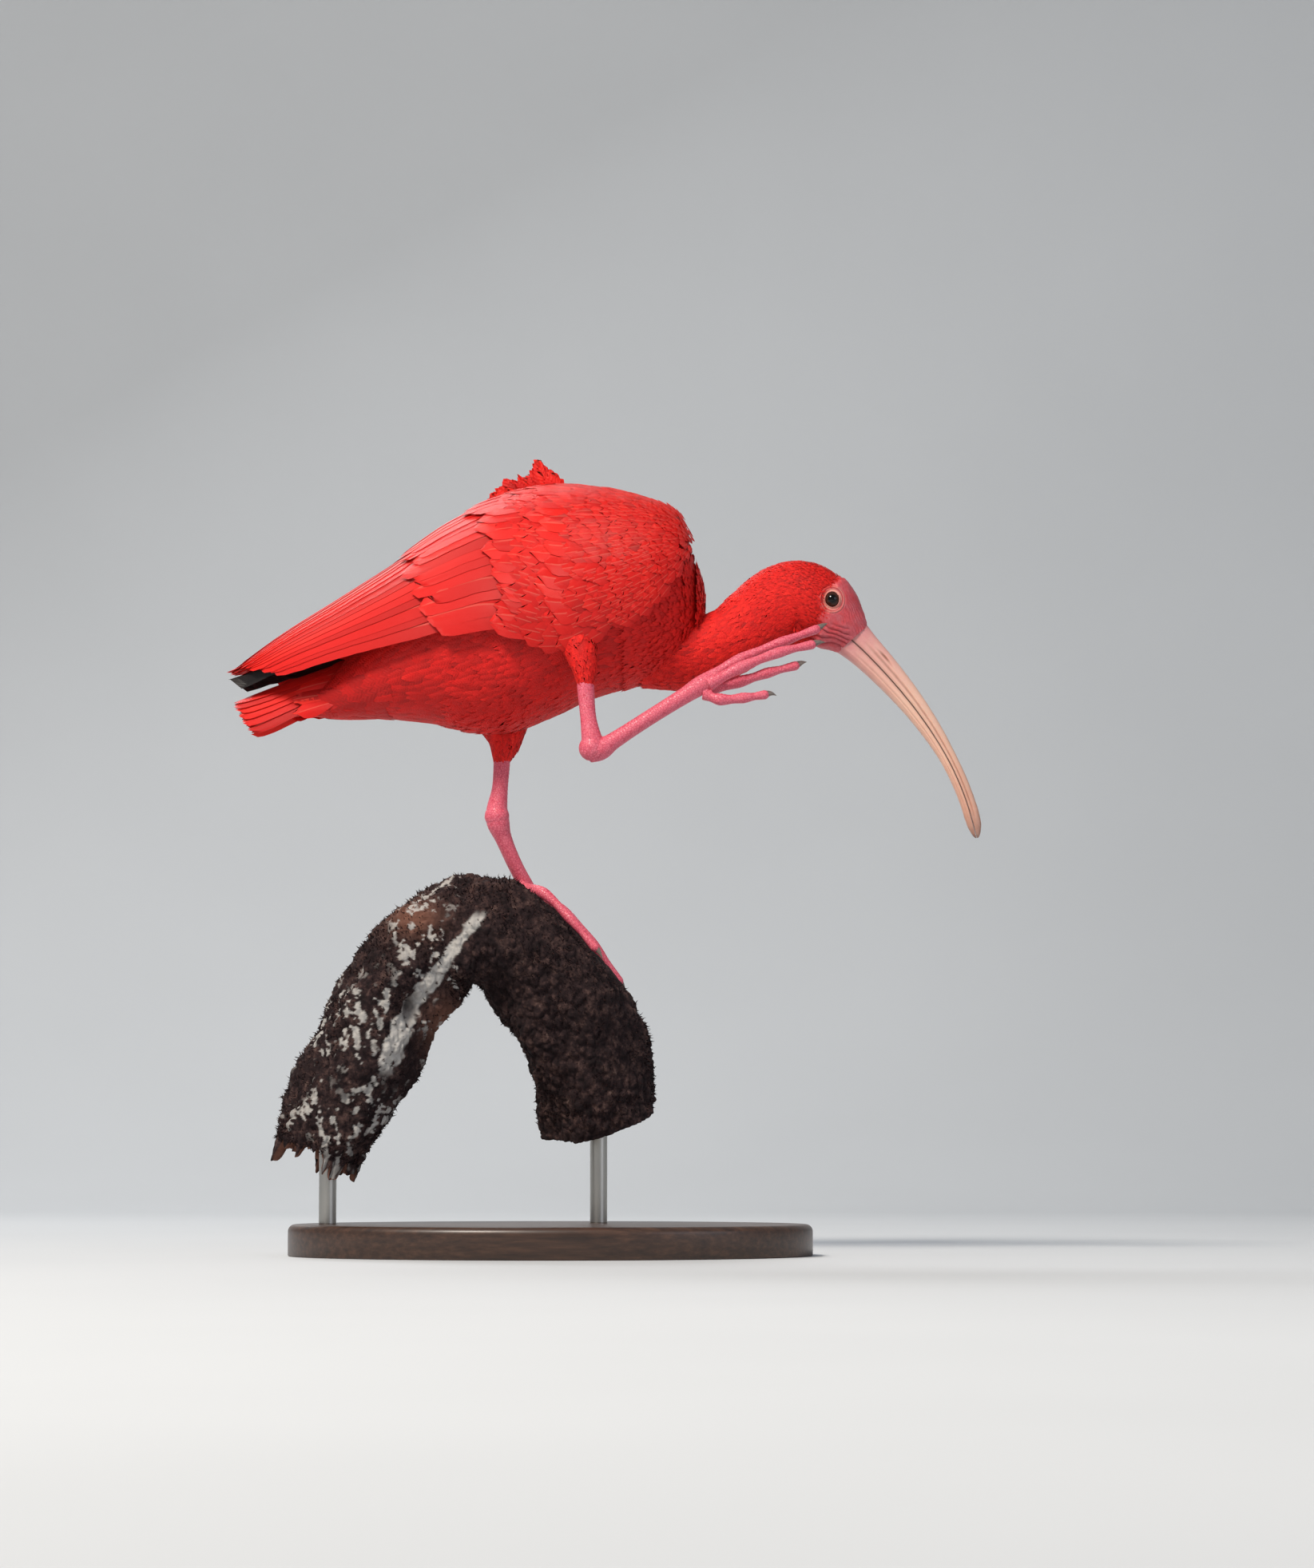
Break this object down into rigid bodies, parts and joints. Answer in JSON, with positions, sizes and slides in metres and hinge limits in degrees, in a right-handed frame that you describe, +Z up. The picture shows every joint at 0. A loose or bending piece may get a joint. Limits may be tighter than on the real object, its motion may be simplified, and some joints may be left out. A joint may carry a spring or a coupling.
{
  "type": "scarlet ibis model",
  "caption": "Scarlet wading bird with a long down-curved bill, standing on a broken branch stub and scratching its chin with a raised foot, on a plain oval display stand.",
  "frame": {"origin": "centre of the underside of the stand's oval base", "axes": "+X is the way the bird faces, +Y its left, +Z up"},
  "size_m": [0.433, 0.2, 0.4616],
  "materials": {
    "plumage": "soft matte feathers",
    "bare_skin": "satin scaly skin",
    "bill": "satin horn",
    "claw": "satin horn",
    "eye": "wet gloss",
    "bark": "rough mossy bark",
    "board": "satin stained wood",
    "rod": "brushed"
  },
  "bodies": {
    "root": {"stand_base": "board", "stand_rod_broken_end": "rod", "stand_rod_sawn_end": "rod", "perch": "bark", "torso": "plumage", "tail": "plumage", "neck": "plumage", "head": "plumage", "eye_right": "eye", "eye_left": "eye", "bill_upper": "bill", "bill_lower": "bill", "wing_right": "plumage", "thigh_right": "plumage", "shank_right": "bare_skin", "tarsus_right": "bare_skin", "toe_right_1": "bare_skin", "claw_right_1": "claw", "toe_right_2": "bare_skin", "claw_right_2": "claw", "toe_right_3": "bare_skin", "claw_right_3": "claw", "toe_right_4": "bare_skin", "claw_right_4": "claw", "wing_left": "plumage", "thigh_left": "plumage", "shank_left": "bare_skin", "tarsus_left": "bare_skin", "toe_left_1": "bare_skin", "claw_left_1": "claw", "toe_left_2": "bare_skin", "claw_left_2": "claw", "toe_left_3": "bare_skin", "claw_left_3": "claw", "toe_left_4": "bare_skin", "claw_left_4": "claw"}
  },
  "joints": []
}
